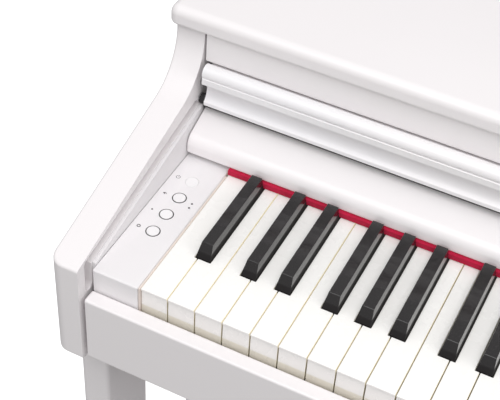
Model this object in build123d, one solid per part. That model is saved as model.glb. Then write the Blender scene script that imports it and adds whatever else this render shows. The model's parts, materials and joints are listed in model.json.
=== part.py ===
from build123d import *
import os
from math import cos, radians, sin, tan

# Digital piano on stand. Millimetres, +X to the treble end, +Y to the back, +Z up.
# The origin is on the floor, midway between the ends and between front and back.

# Overall sizes
overall_width = 1378.0
overall_depth = 460.0
key_top_height = 725.0        # top of the white keys above the floor

# Keyboard
key_pitch = 23.56
natural_count = 52
key_gap = 1.0
natural_head_length = 49.5
natural_head_depth = 29.0
key_lip_depth = 2.2
key_lip_overhang = 0.9
key_stick_depth = 16.0
key_visible_length = 146.0
key_length = 234.0
pivot_y = 228.0               # behind the key fronts
pivot_radius = 3.0
pivot_clearance = 0.3
sharp_base_width = 13.0
sharp_top_width = 9.6
sharp_height = 12.0
sharp_front_run = 7.5
sharp_skirt = 6.0
sharp_stick_width = 10.0
sharp_side_gap = 0.7

# Cabinet
panel_thickness = 27.0
arm_set_back = 18.0           # key fronts behind the arm fronts
top_board_overhang = 4.5
top_board_thickness = 17.5
top_board_underside = 109.5   # above the white keys
top_board_nose_y = 179.0      # behind the key fronts
arm_bottom = -94.0
arm_front_top = 11.5
arm_slope = 15.0
cabinet_front_y = 185.0
cheek_radius = 50.0
arm_corner_radius = 12.0
arm_edge_radius = 3.0

bed_thickness = 16.0
bed_bottom = -90.0
slip_thickness = 13.0
slip_gap = 3.0
slip_top = -21.0
slip_end_gap = 3.0
slip_edge_radius = 2.0

block_top = 0.5
block_strip_gap = 0.5
block_wall = 2.6
block_key_gap = 1.6
block_length = 165.0
strip_thickness = 3.0

nameboard_front_y = 149.5
nameboard_end_gap = 0.8
nameboard_square_height = 14.0
nameboard_round_middle = (2.6, 20.6)
nameboard_round_end = (9.0, 24.5)
nameboard_bottom = 6.0
nameboard_back_y = 184.0
nameboard_back_z = 34.0

front_board_thickness = 12.0
front_board_bottom = 80.3
front_board_end_gap = 2.0
back_panel_thickness = 5.0
back_panel_inset = 1.0

# Sliding fallboard
fallboard_travel = 184.0
fallboard_slope = 0.19
fallboard_side_gap = 6.5
fallboard_thickness = 10.0
fallboard_length = 190.0
fallboard_rise = 0.126
lip_bottom = 38.0
lip_back_y = 183.0
lip_depth = 14.0              # strip front to back
lip_foot_depth = 9.5          # lower edge to back
lip_foot_height = 3.5
lip_foot_chamfer = (6.5, 4.0)
cove_middle = (5.5, 18.0)     # behind the foot, above the lip's underside
strip_bottom = 29.5           # above the lip's underside
strip_height = 5.5
strip_edge = 0.6
nose_radius = 7.5
nose_centre_height = 38.0     # above the lip's underside
guide_pin_radius = 2.2
guide_roller_length = 5.0
roller_clearance = 0.3
groove_half_width = 4.75
groove_depth = 8.0
groove_drop = 25.0
rear_pin_inset = 5.0

# Buttons
button_radius = 5.3
button_ring_gap = 0.6
button_height = 0.5
button_spacing = 22.0
first_button_y = 58.0
button_offset_x = 21.8        # left of the first key
power_button_radius = 5.6
power_button_gap = 0.15
power_button_height = 0.1

# Stand
foot_width = 45.0
foot_height = 58.0
foot_front_gap = 10.0
pad_radius = 14.0
pad_thickness = 4.0
leg_front_y = 17.0
leg_depth = 66.0
stand_board_front_y = 215.0
lower_board_thickness = 15.0
lower_board_bottom = 250.0
lower_board_height = 310.0
lower_board_inset = 30.0

# Pedals
pedal_board_depth = 105.0
pedal_board_height = 70.0
pedal_board_front_y = 225.0
pedal_board_bottom = 66.0
pedal_rod_length = 220.0
pedal_spacing = 72.0
pedal_reach = 95.0            # in front of the pedal board
pedal_thickness = 9.0
pedal_toe_width = 25.0
pedal_arm_width = 15.0
pedal_slot_width = 29.0
pedal_slot_height = 36.0
pedal_slot_depth = 78.0
pedal_rod_radius = 3.0
running_clearance = 0.05
adjuster_radius = 20.0
adjuster_thickness = 12.0
adjuster_stem_radius = 5.0
adjuster_bore_depth = 14.0
adjuster_travel = 6.0

# Music rest
rest_width = 560.0
rest_height = 137.0
rest_thickness = 10.0
rest_tilt = 18.0
rest_hinge_y = 212.0
rest_hinge_height = 9.0
rest_pin_radius = 2.5
rest_pin_length = 9.0
rest_ledge_depth = 22.0
rest_ledge_thickness = 6.0
ear_thickness = 5.0
prop_pivot_u = 60.0
prop_pivot_v = -7.0
prop_length = 73.0
prop_angle = 131.3
prop_width = 12.0
prop_thickness = 2.4
prop_offset_x = 120.0

# Speakers and electronics
speaker_radius = 62.0
speaker_opening_radius = 52.0
speaker_x = 430.0
speaker_y = 335.0
grille_thickness = 2.0
board_thickness = 1.6
jack_radius = 3.2
jack_depth = 18.0
jack_wall = 4.0               # behind the end of a jack
connector_x0 = -350.0
connector_x1 = -150.0
connector_z0 = -64.0
connector_z1 = -24.0
jack_z = (connector_z0 + connector_z1) / 2
housing_half = 10.0           # half the height of the row of sockets
inlet_housing = (-342.0, -310.0)
line_housings = ((-310.0, -276.0), (-276.0, -242.0))
port_housings = ((-242.0, -206.0), (-206.0, -178.0))
inlet_x = -330.0
line_jacks = (-290.0, -262.0)
ports = ((-222.0, 12.2, 11.0), (-190.0, 13.2, 5.8))   # centre, width, height
headphone_x = -590.0
headphone_half_width = 35.0
headphone_spacing = 14.0      # each jack from the middle of the box
headphone_height = 28.0
headphone_depth = 60.0
headphone_front_y = 6.0
inlet_radius = 3.0
bolt_radius = 3.0
bolt_head_radius = 6.0
bolt_head_thickness = 4.0
bolt_length = 48.0

# Derived places
key_front_y = arm_set_back - overall_depth / 2
keyboard_width = natural_count * key_pitch
keyboard_left = -keyboard_width / 2
outer_x = overall_width / 2 - top_board_overhang
inner_x = outer_x - panel_thickness
back_y = overall_depth - arm_set_back          # behind the key fronts
block_left = -inner_x + strip_thickness + block_strip_gap
bed_top = bed_bottom + bed_thickness
floor = -key_top_height                        # below the white keys
foot_top = pad_thickness + foot_height
datum = Pos(0, key_front_y, key_top_height)    # white key fronts' top edge
on_base = (Align.CENTER, Align.CENTER, Align.MIN)


def block(x0, x1, y0, y1, z0, z1):
    centre = Pos((x0 + x1) / 2, (y0 + y1) / 2, (z0 + z1) / 2)
    return centre * Box(x1 - x0, y1 - y0, z1 - z0)


def prism(outline, x0, x1):
    """Extrude a closed YZ outline along X."""
    return extrude(Plane.YZ.offset(x0) * outline, amount=x1 - x0)


def polygon(*points):
    return make_face(Polyline(*points, close=True))


def rod_x(x0, x1, y, z, radius):
    return Pos(x0, y, z) * Rot(0, 90, 0) * Cylinder(radius, x1 - x0, align=on_base)


def rod_y(x, y0, y1, z, radius):
    return Pos(x, y1, z) * Rot(90, 0, 0) * Cylinder(radius, y1 - y0, align=on_base)


def disc(x, y, z0, z1, radius):
    return Pos(x, y, z0) * Cylinder(radius, z1 - z0, align=on_base)


def mirrored(shape):
    return mirror(shape, about=Plane.YZ)


def slot_between(a, b, half_width):
    """Round-ended YZ slot between two points."""
    return SlotCenterToCenter((Vector(*b) - Vector(*a)).length, 2 * half_width).moved(
        Location(((a[0] + b[0]) / 2, (a[1] + b[1]) / 2, 0), (0, 0, line_angle(a, b))))


def line_angle(a, b):
    return Vector(1, 0).get_signed_angle(Vector(b[0] - a[0], b[1] - a[1]), Vector(0, 0, 1))


# Cabinet

lip_pin = (lip_back_y - guide_pin_radius - 0.1, lip_bottom + 4.7)
track_front = (lip_pin[0] - fallboard_travel, lip_pin[1] - fallboard_slope * fallboard_travel)
panel_rear_y = lip_back_y + fallboard_length
panel_rear_z = lip_bottom + 33.0 + fallboard_rise * fallboard_length
rear_pin = (panel_rear_y - rear_pin_inset, panel_rear_z - fallboard_rise * rear_pin_inset)
rear_track_front = (rear_pin[0] - fallboard_travel, rear_pin[1] - fallboard_slope * fallboard_travel)


def side_outline():
    start_y = cabinet_front_y - cheek_radius * (1 - sin(radians(arm_slope)))
    start_z = arm_front_top + (start_y + arm_set_back) * tan(radians(arm_slope))
    end_z = start_z + cheek_radius * cos(radians(arm_slope))
    mid_angle = radians((90 + arm_slope) / 2)
    mid = (start_y + cheek_radius * (sin(mid_angle) - sin(radians(arm_slope))),
           start_z + cheek_radius * (cos(radians(arm_slope)) - cos(mid_angle)))
    edges = [
        Line((-arm_set_back, arm_bottom), (-arm_set_back, arm_front_top)),
        Line((-arm_set_back, arm_front_top), (start_y, start_z)),
        ThreePointArc((start_y, start_z), mid, (cabinet_front_y, end_z)),
        Line((cabinet_front_y, end_z), (cabinet_front_y, top_board_underside)),
        Line((cabinet_front_y, top_board_underside), (back_y, top_board_underside)),
        Line((back_y, top_board_underside), (back_y, arm_bottom)),
        Line((back_y, arm_bottom), (-arm_set_back, arm_bottom)),
    ]
    return make_face(edges)


def side_panel():
    panel = prism(side_outline(), -outer_x, -inner_x)
    front_outer = [e for e in panel.edges().filter_by(Axis.Z)
                   if abs(e.center().X + outer_x) < 0.01 and abs(e.center().Y + arm_set_back) < 0.01]
    panel = fillet(front_outer, arm_corner_radius)
    top_edges = [e for e in panel.edges()
                 if abs(e.center().Y - back_y) > 1 and e.center().Z > arm_front_top - 0.5
                 and e.center().Z < top_board_underside - 12 and abs(e.center().X + inner_x) > 0.01
                 and e.bounding_box().size.Z + e.bounding_box().size.Y > 5
                 and abs(e.tangent_at(0.5).X) < 0.9]
    panel = fillet(top_edges, arm_edge_radius)
    bottom_outer = [e for e in panel.edges() if abs(e.center().Z - arm_bottom) < 0.01
                    and e.center().X < -outer_x + arm_corner_radius and e.center().Y < back_y - 1]
    panel = fillet(bottom_outer, arm_edge_radius)
    grooves = [
        slot_between(track_front, lip_pin, groove_half_width),
        slot_between(track_front, (track_front[0], track_front[1] - groove_drop), groove_half_width),
        slot_between(rear_track_front, rear_pin, groove_half_width),
    ]
    for groove in grooves:
        panel -= prism(groove, -inner_x - groove_depth, -inner_x)
    return panel


def guide_strip():
    edge_drop = groove_half_width + 1.0
    front_y = track_front[0] + groove_half_width + 2.0
    front_z = track_front[1] - edge_drop + fallboard_slope * (front_y - track_front[0])
    rear_z = lip_pin[1] - edge_drop
    outline = polygon((front_y, slip_top), (front_y, front_z), (lip_pin[0], rear_z), (lip_pin[0], slip_top))
    return prism(outline, -inner_x, -inner_x + strip_thickness)


def top_board():
    half = overall_width / 2
    top = top_board_underside + top_board_thickness
    board = block(-half, half, top_board_nose_y, back_y, top_board_underside, top)
    corners = [e for e in board.edges().filter_by(Axis.Z) if abs(e.center().Y - top_board_nose_y) < 0.01]
    board = fillet(corners, 8.0)
    rim = [e for e in board.edges() if e.center().Y < back_y - 1
           and abs(e.tangent_at(0.5).Z) < 0.1 and e.center().Z > top - 0.1]
    board = fillet(rim, top_board_thickness / 2 - 1.0)
    lower_rim = [e for e in board.edges() if e.center().Y < back_y - 1
                 and abs(e.tangent_at(0.5).Z) < 0.1 and e.center().Z < top_board_underside + 0.1]
    return fillet(lower_rim, top_board_overhang - 1.0)


def nameboard():
    end_x = inner_x - strip_thickness - nameboard_end_gap
    square_top = (nameboard_front_y, nameboard_square_height)
    middle = (nameboard_front_y + nameboard_round_middle[0], nameboard_round_middle[1])
    round_end = (nameboard_front_y + nameboard_round_end[0], nameboard_round_end[1])
    outline = make_face([
        Line((nameboard_front_y, nameboard_bottom), square_top),
        ThreePointArc(square_top, middle, round_end),
        Line(round_end, (nameboard_back_y, nameboard_back_z)),
        Line((nameboard_back_y, nameboard_back_z), (nameboard_back_y, nameboard_bottom)),
        Line((nameboard_back_y, nameboard_bottom), (nameboard_front_y, nameboard_bottom)),
    ])
    return prism(outline, -end_x, end_x)


def key_slip():
    end_x = inner_x - slip_end_gap
    slip = block(-end_x, end_x, -slip_gap - slip_thickness, -slip_gap, bed_bottom, slip_top)
    return fillet(slip.edges().filter_by(Axis.X), slip_edge_radius)


def key_bed():
    bed = block(-inner_x, inner_x, -slip_gap, back_y - back_panel_inset - back_panel_thickness,
                bed_bottom, bed_top)
    for x in (-speaker_x, speaker_x):
        bed -= disc(x, speaker_y, bed_bottom - 1, bed_top + 1, speaker_opening_radius)
    return bed


def upper_front_board():
    end_x = inner_x - front_board_end_gap
    return block(-end_x, end_x, nameboard_back_y, nameboard_back_y + front_board_thickness,
                 front_board_bottom, top_board_underside)




def back_panel():
    y1 = back_y - back_panel_inset
    panel = block(-inner_x, inner_x, y1 - back_panel_thickness, y1, bed_bottom, top_board_underside)
    window = block(connector_x0, connector_x1, y1 - 20, y1 + 1, connector_z0, connector_z1)
    return panel - window


# Control block and buttons

def button_place(row):
    return keyboard_left - button_offset_x, first_button_y + row * button_spacing


# Place, radius, gap round it and height of each button
button_places = {
    "lower_round_button": (*button_place(0), button_radius, button_ring_gap, button_height),
    "middle_round_button": (*button_place(1), button_radius, button_ring_gap, button_height),
    "upper_round_button": (*button_place(2), button_radius, button_ring_gap, button_height),
    "power_button": (*button_place(3), power_button_radius, power_button_gap, power_button_height),
}


def end_block(holes):
    x1 = keyboard_left - block_key_gap
    x0 = block_left
    y0 = -block_key_gap
    cover = block(x0, x1, y0, block_length, bed_top, block_top)
    rounded = [e for e in cover.edges() if e.center().Z > block_top - 0.1
               and (e.center().X > x1 - 0.1 or e.center().Y < y0 + 0.1)]
    cover = fillet(rounded, 1.5)
    cover -= block(x0 + block_wall, x1 - block_wall, y0 + block_wall, block_length - block_wall,
                   bed_top - 1, block_top - block_wall)
    if holes:
        for x, y, radius, gap, _ in button_places.values():
            cover -= disc(x, y, block_top - block_wall - 1, block_top + 1, radius + gap)
    return cover


def button(x, y, radius, gap, height):
    head = disc(x, y, block_top - block_wall - 0.1, block_top + height, radius)
    head = fillet(head.edges().sort_by(Axis.Z)[-1], 0.3)
    collar = disc(x, y, block_top - block_wall - 1.4, block_top - block_wall - 0.1, radius + gap + 0.8)
    return head + collar


control_board_top = block_top - block_wall - 4.3


def control_board():
    x0 = block_left + block_wall
    x1 = keyboard_left - block_key_gap - block_wall
    board = block(x0, x1, 20, 140, control_board_top - board_thickness, control_board_top)
    for x, y, *_ in button_places.values():
        half = 3.0
        board += block(x - half, x + half, y - half, y + half, control_board_top, control_board_top + 1.8)
    return board


# Keyboard

natural_names = "ABCDEFG"
# A sharp's centre beside the boundary above the natural that it follows
sharp_offsets = {"A": 4.2, "C": -3.0, "D": 3.0, "F": -4.2, "G": 0.0}


def natural_name(index):
    return natural_names[index % 7]


def sharp_centre(index):
    """Centre of the sharp above natural number index, or None."""
    name = natural_name(index)
    if name not in sharp_offsets or not 0 <= index < natural_count - 1:
        return None
    return keyboard_left + (index + 1) * key_pitch + sharp_offsets[name]


def pivot_notch(x0, x1):
    return rod_x(x0, x1, pivot_y, -key_stick_depth, pivot_radius + pivot_clearance)


def natural_key(index):
    x0 = keyboard_left + index * key_pitch + key_gap / 2
    x1 = x0 + key_pitch - key_gap
    beside = sharp_base_width / 2 + sharp_side_gap
    below = sharp_centre(index - 1)
    above = sharp_centre(index)
    tail_x0 = x0 if below is None else below + beside
    tail_x1 = x1 if above is None else above - beside
    head = block(x0, x1, key_lip_overhang, natural_head_length, -natural_head_depth, -key_lip_depth)
    plate = block(x0, x1, 0, natural_head_length, -key_lip_depth, 0)
    tail = block(tail_x0, tail_x1, natural_head_length, key_length, -key_stick_depth, 0)
    return head + plate + tail - pivot_notch(x0, x1)


def sharp_key(index):
    x = sharp_centre(index)
    y0 = natural_head_length + sharp_side_gap
    half = sharp_base_width / 2
    top_half = sharp_top_width / 2
    top_y0 = y0 + sharp_front_run
    base = Polyline((x - half, y0), (x + half, y0), (x + half, key_visible_length),
                    (x - half, key_visible_length), close=True)
    top = Polyline((x - top_half, top_y0), (x + top_half, top_y0), (x + top_half, key_visible_length),
                   (x - top_half, key_visible_length), close=True)
    raised = loft([make_face(base), Pos(0, 0, sharp_height) * make_face(top)])
    skirt = block(x - half, x + half, y0, key_visible_length, -sharp_skirt, 0)
    stick = block(x - sharp_stick_width / 2, x + sharp_stick_width / 2, y0, key_length, -key_stick_depth, 0)
    return raised + skirt + (stick - pivot_notch(x - half, x + half))


rail_top = -natural_head_depth - 12.7


def key_chassis():
    wall = 3.0
    base = block(0, keyboard_width, 4, key_length, bed_top, bed_top + wall)
    ribs = [
        (18, 42, rail_top - wall, rail_top),
        (18, 21, bed_top, rail_top),
        (39, 42, bed_top, rail_top),
        (52, 55, bed_top, sensor_z),
        (95, 98, bed_top, sensor_z),
        (116, 124, bed_top, hammer_bottom),
        (pivot_y - 2, pivot_y + 2, bed_top, -key_stick_depth),
    ]
    for y0, y1, z0, z1 in ribs:
        base += block(0, keyboard_width, y0, y1, z0, z1)
    base += rod_x(0, keyboard_width, pivot_y, -key_stick_depth, pivot_radius)
    return Pos(keyboard_left, 0, 0) * base


sensor_z = rail_top - 2.6
hammer_bottom = bed_top + 16.0
felt_thickness = 3.0


def key_stop_felt():
    return block(keyboard_left, -keyboard_left, 19, 41, rail_top, rail_top + felt_thickness)


def sensor_board():
    x0 = keyboard_left + 2
    board = block(x0, -x0, 52, 98, sensor_z, sensor_z + board_thickness)
    contacts = block(x0, -x0, 66, 74, sensor_z + board_thickness, sensor_z + board_thickness + 3)
    return board + contacts


def hammer(index):
    pitch = keyboard_width / 88
    x = keyboard_left + (index + 0.5) * pitch
    arm = block(x - 4, x + 4, 100, 212, hammer_bottom, hammer_bottom + 8)
    weight = block(x - 4, x + 4, 180, 212, hammer_bottom - 8, hammer_bottom + 18)
    return arm + weight


def felt_strip():
    return block(keyboard_left, -keyboard_left, key_visible_length + 0.5, nameboard_back_y - 24,
                 0.8, nameboard_bottom)


# Fallboard

def guide_rollers(y, z):
    """A stub and roller at each end, running in the side panels' grooves."""
    rollers = []
    for side in (-1, 1):
        start = side * (inner_x - fallboard_side_gap)
        mid = side * (inner_x + 0.5)
        end = side * (inner_x + 0.5 + guide_roller_length)
        stub = rod_x(min(start, mid), max(start, mid), y, z, guide_pin_radius)
        roller = rod_x(min(mid, end), max(mid, end), y, z, groove_half_width - roller_clearance)
        rollers.append(stub + roller)
    return rollers[0] + rollers[1]


def fallboard_lip():
    """A slanted foot, a cove, a square strip and a round nose, with a roller at each end."""
    end_x = inner_x - fallboard_side_gap
    front_y = lip_back_y - lip_depth
    foot_y = lip_back_y - lip_foot_depth
    foot_z = lip_bottom + lip_foot_chamfer[1]
    cove_z = foot_z + lip_foot_height
    strip_z0 = lip_bottom + strip_bottom
    strip_z1 = strip_z0 + strip_height
    nose_y = lip_back_y - nose_radius
    nose_z = lip_bottom + nose_centre_height
    nose_top = (nose_y, nose_z + nose_radius)
    nose_start = (front_y + strip_edge, strip_z1 + strip_edge)
    diagonal = nose_radius * cos(radians(45))
    cove_deepest = (foot_y + cove_middle[0], lip_bottom + cove_middle[1])
    outline = make_face([
        Line((lip_back_y, lip_bottom), (foot_y + lip_foot_chamfer[0], lip_bottom)),
        Line((foot_y + lip_foot_chamfer[0], lip_bottom), (foot_y, foot_z)),
        Line((foot_y, foot_z), (foot_y, cove_z)),
        ThreePointArc((foot_y, cove_z), cove_deepest, (front_y, strip_z0)),
        Line((front_y, strip_z0), (front_y, strip_z1)),
        Line((front_y, strip_z1), nose_start),
        ThreePointArc(nose_start, (nose_y - 4, nose_z + 6.3), nose_top),
        ThreePointArc(nose_top, (nose_y + diagonal, nose_z + diagonal), (lip_back_y, nose_z)),
        Line((lip_back_y, nose_z), (lip_back_y, lip_bottom)),
    ])
    return prism(outline, -end_x, end_x) + guide_rollers(*lip_pin)


def fallboard_panel():
    end_x = inner_x - fallboard_side_gap
    half = fallboard_thickness / 2
    front_z = lip_bottom + 33.0
    outline = polygon((lip_back_y, front_z - half), (lip_back_y, front_z + half),
                      (panel_rear_y, panel_rear_z + half), (panel_rear_y, panel_rear_z - half))
    return prism(outline, -end_x, end_x) + guide_rollers(*rear_pin)


# Music rest

rest_axis_z = top_board_underside + top_board_thickness + rest_hinge_height


def rest_place():
    """Local Y runs up the rest and local Z points forward; the hinge is at the origin."""
    return Pos(0, rest_hinge_y, rest_axis_z) * Rot(90 - rest_tilt, 0, 0)


def music_rest():
    half = rest_width / 2
    board = block(-half, half, -4, rest_height, -rest_thickness / 2, rest_thickness / 2)
    corners = [e for e in board.edges().filter_by(Axis.Z) if e.center().Y > rest_height - 1]
    board = fillet(corners, 14.0)
    ledge_y0 = 2.0
    ledge = block(-half + 20, half - 20, ledge_y0, ledge_y0 + rest_ledge_thickness,
                  rest_thickness / 2, rest_thickness / 2 + rest_ledge_depth)
    rest = board + ledge
    for x0, x1 in ((-half - rest_pin_length, -half), (half, half + rest_pin_length)):
        rest += rod_x(x0, x1, 0, 0, rest_pin_radius)
    for x in (-prop_offset_x, prop_offset_x):
        for side in (-1, 1):
            inner = x + side * (prop_width / 2 + 0.3)
            outer = inner + side * 3.0
            lug = block(min(inner, outer), max(inner, outer), prop_pivot_u - 4, prop_pivot_u + 4,
                        prop_pivot_v - 3, -rest_thickness / 2)
            rest += lug - rod_x(x - 20, x + 20, prop_pivot_u, prop_pivot_v, 1.5 + running_clearance)
    return rest_place() * rest


def music_rest_prop():
    arms = []
    direction = Rot(-prop_angle, 0, 0)
    for x in (-prop_offset_x, prop_offset_x):
        arm = block(x - prop_width / 2, x + prop_width / 2, 0, prop_length,
                    -prop_thickness / 2, prop_thickness / 2)
        pin = rod_x(x - prop_width / 2 - 3.3, x + prop_width / 2 + 3.3, 0, 0, 1.5)
        arms.append(arm + pin)
    bridge = block(-prop_offset_x, prop_offset_x, prop_length - 14, prop_length - 6,
                   -prop_thickness / 2, prop_thickness / 2)
    prop = arms[0] + bridge + arms[1]
    return rest_place() * Pos(0, prop_pivot_u, prop_pivot_v) * direction * prop


def music_rest_ears():
    top = top_board_underside + top_board_thickness
    ears = []
    for side in (-1, 1):
        inner = side * (rest_width / 2 + 1.5)
        outer = inner + side * ear_thickness
        ear = block(min(inner, outer), max(inner, outer), rest_hinge_y - 8, rest_hinge_y + 8,
                    top, rest_axis_z + 7)
        ear = fillet(ear.edges().filter_by(Axis.X).group_by(Axis.Z)[-1], 6.0)
        ears.append(ear - rod_x(-rest_width, rest_width, rest_hinge_y, rest_axis_z,
                                rest_pin_radius + running_clearance))
    return ears


# Stand

def foot():
    y0 = foot_front_gap - arm_set_back
    bar = block(-outer_x, -outer_x + foot_width, y0, back_y, floor + pad_thickness, floor + foot_top)
    nose = bar.edges().filter_by(Axis.X).group_by(Axis.Y)[0].sort_by(Axis.Z)[-1]
    bar = fillet(nose, 25.0)
    outer = [e for e in bar.edges() if abs(e.center().X + outer_x) < 0.01
             and e.center().Z > floor + pad_thickness + 1 and e.center().Y < back_y - 1]
    return fillet(outer, arm_edge_radius)


def rubber_pads():
    x = outer_x - foot_width / 2
    return [disc(side * x, y, floor, floor + pad_thickness, pad_radius)
            for side in (-1, 1) for y in (25.0, back_y - 30.0)]


def front_leg():
    leg = block(-outer_x, -inner_x, leg_front_y, leg_front_y + leg_depth, floor + foot_top, arm_bottom)
    front = [e for e in leg.edges().filter_by(Axis.Z) if abs(e.center().Y - leg_front_y) < 0.01]
    return fillet(front, 5.0)


lower_board_y1 = back_y - lower_board_inset
pedal_board_y1 = pedal_board_front_y + pedal_board_depth
bolt_places = [
    (lower_board_y1 - lower_board_thickness / 2, floor + lower_board_bottom + 40),
    (lower_board_y1 - lower_board_thickness / 2, floor + lower_board_bottom + lower_board_height - 40),
    (pedal_board_y1 - 15, floor + pedal_board_bottom + pedal_board_height / 2 - 18),
    (pedal_board_y1 - 15, floor + pedal_board_bottom + pedal_board_height / 2 + 18),
]


def stand_board():
    board = block(-outer_x, -inner_x, stand_board_front_y, back_y, floor + foot_top, arm_bottom)
    edges = [e for e in board.edges().filter_by(Axis.Z) if abs(e.center().X + outer_x) < 0.01]
    board = fillet(edges, arm_edge_radius)
    for y, z in bolt_places:
        board -= rod_x(-outer_x, -inner_x, y, z, bolt_radius + running_clearance)
        board -= rod_x(-outer_x, -outer_x + bolt_head_thickness + 1, y, z, bolt_head_radius + 0.5)
    return board


def bolt_bores(shape):
    bore_depth = bolt_length - panel_thickness + bolt_head_thickness + 3
    for y, z in bolt_places:
        for x0, x1 in ((-inner_x, -inner_x + bore_depth), (inner_x - bore_depth, inner_x)):
            shape -= rod_x(x0, x1, y, z, bolt_radius + running_clearance)
    return shape


def lower_back_board():
    z0 = floor + lower_board_bottom
    return bolt_bores(block(-inner_x, inner_x, lower_board_y1 - lower_board_thickness, lower_board_y1,
                            z0, z0 + lower_board_height))


def assembly_bolts():
    bolts = []
    for y, z in bolt_places:
        head = rod_x(-outer_x + 1, -outer_x + 1 + bolt_head_thickness, y, z, bolt_head_radius)
        socket = prism(Pos(y, z) * RegularPolygon(2.9, 6), -outer_x + 1, -outer_x + 3.5)
        shank = rod_x(-outer_x + 1 + bolt_head_thickness, -outer_x + 1 + bolt_length, y, z, bolt_radius)
        bolt = head - socket + shank
        bolts += [bolt, mirrored(bolt)]
    return bolts


# Pedals

pedal_z = floor + pedal_board_bottom + pedal_board_height / 2
pedal_pivot_y = pedal_board_front_y + pedal_slot_depth - 14
adjuster_y = pedal_board_front_y + 45


def pedal_board():
    z0 = floor + pedal_board_bottom
    y0 = pedal_board_front_y
    board = block(-inner_x, inner_x, y0, y0 + pedal_board_depth, z0, z0 + pedal_board_height)
    board = fillet([e for e in board.edges().filter_by(Axis.X) if e.center().Y < y0 + 0.1], 3.0)
    for i in (-1, 0, 1):
        x = i * pedal_spacing
        board -= block(x - pedal_slot_width / 2, x + pedal_slot_width / 2, y0 - 1, y0 + pedal_slot_depth,
                       pedal_z - pedal_slot_height / 2, pedal_z + pedal_slot_height / 2)
    board -= rod_x(-pedal_rod_length / 2, pedal_rod_length / 2, pedal_pivot_y, pedal_z,
                   pedal_rod_radius + running_clearance)
    board -= disc(0, adjuster_y, z0 - 1, z0 + adjuster_bore_depth, adjuster_stem_radius + running_clearance)
    return bolt_bores(board)


def pedal(x):
    toe_y = pedal_board_front_y - pedal_reach
    arm_half = pedal_arm_width / 2
    toe_half = pedal_toe_width / 2
    neck_y = pedal_board_front_y - 18
    plan = make_face([
        Line((x - arm_half, pedal_pivot_y + 8), (x + arm_half, pedal_pivot_y + 8)),
        Line((x + arm_half, pedal_pivot_y + 8), (x + arm_half, neck_y)),
        Line((x + arm_half, neck_y), (x + toe_half, neck_y - 25)),
        Line((x + toe_half, neck_y - 25), (x + toe_half, toe_y + toe_half)),
        ThreePointArc((x + toe_half, toe_y + toe_half), (x, toe_y), (x - toe_half, toe_y + toe_half)),
        Line((x - toe_half, toe_y + toe_half), (x - toe_half, neck_y - 25)),
        Line((x - toe_half, neck_y - 25), (x - arm_half, neck_y)),
        Line((x - arm_half, neck_y), (x - arm_half, pedal_pivot_y + 8)),
    ])
    lever = extrude(Pos(0, 0, pedal_z - pedal_thickness / 2) * plan, amount=pedal_thickness)
    lever = fillet([e for e in lever.edges() if e.center().Z > pedal_z + pedal_thickness / 2 - 0.1
                    and e.center().Y < neck_y], 2.0)
    return lever - rod_x(x - 30, x + 30, pedal_pivot_y, pedal_z, pedal_rod_radius + running_clearance)


def pedal_rod():
    return rod_x(-pedal_rod_length / 2, pedal_rod_length / 2, pedal_pivot_y, pedal_z, pedal_rod_radius)


def pedal_adjuster():
    wheel = disc(0, adjuster_y, floor, floor + adjuster_thickness, adjuster_radius)
    wheel = fillet(wheel.edges().sort_by(Axis.Z)[-1], 2.0)
    stem_top = floor + pedal_board_bottom + adjuster_bore_depth - adjuster_travel - 1
    return wheel + disc(0, adjuster_y, floor, stem_top, adjuster_stem_radius)


# Speakers and electronics

def speaker(x):
    profile = make_face(Polyline((0, 48), (0, 8), (46, 2), (46, 0), (speaker_radius, 0), (speaker_radius, 4),
                                 (54, 4), (34, 26), (34, 48), close=True))
    driver = revolve(Plane.XZ * profile, axis=Axis.Z)
    return Pos(x, speaker_y, bed_top) * driver


def speaker_grille(x):
    z0 = bed_bottom - grille_thickness
    grille = disc(x, speaker_y, z0, bed_bottom, speaker_radius)
    for i in range(-4, 5):
        half = ((speaker_opening_radius - 4) ** 2 - (i * 10) ** 2) ** 0.5
        grille -= block(x - half, x + half, speaker_y + i * 10 - 2, speaker_y + i * 10 + 2,
                        z0 - 1, bed_bottom + 1)
    return grille


def main_board():
    x0, x1 = -240.0, 40.0
    y0, y1 = 290.0, 400.0
    z0 = bed_top + 12
    board = block(x0, x1, y0, y1, z0, z0 + board_thickness)
    for x in (x0 + 8, x1 - 8):
        for y in (y0 + 8, y1 - 8):
            board += disc(x, y, bed_top, z0, 4.0)
    for cx, cy, w, d, h in ((-160, 350, 40, 40, 3), (-60, 330, 26, 26, 3), (0, 370, 30, 20, 18)):
        board += block(cx - w / 2, cx + w / 2, cy - d / 2, cy + d / 2, z0, z0 + board_thickness + h)
    return board


def socket_housing(span):
    y1 = back_y - back_panel_inset
    return block(span[0], span[1], y1 - jack_depth - jack_wall, y1,
                 jack_z - housing_half, jack_z + housing_half)


def connector_panel():
    y1 = back_y - back_panel_inset
    y0 = y1 - jack_depth
    plate = block(connector_x0, connector_x1, y1 - back_panel_thickness, y1, connector_z0, connector_z1)
    plate -= block(inlet_housing[0], port_housings[-1][1], y0, y1 + 1,
                   jack_z - housing_half, jack_z + housing_half)
    pieces = [plate, socket_housing(inlet_housing) - rod_y(inlet_x, y0, y1, jack_z, inlet_radius)]
    for span, x in zip(line_housings, line_jacks):
        pieces.append(socket_housing(span) - rod_y(x, y0, y1, jack_z, jack_radius))
    for span, (x, width, height) in zip(port_housings, ports):
        hole = block(x - width / 2, x + width / 2, y0, y1 + 1, jack_z - height / 2, jack_z + height / 2)
        pieces.append(socket_housing(span) - hole)
    return pieces


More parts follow.
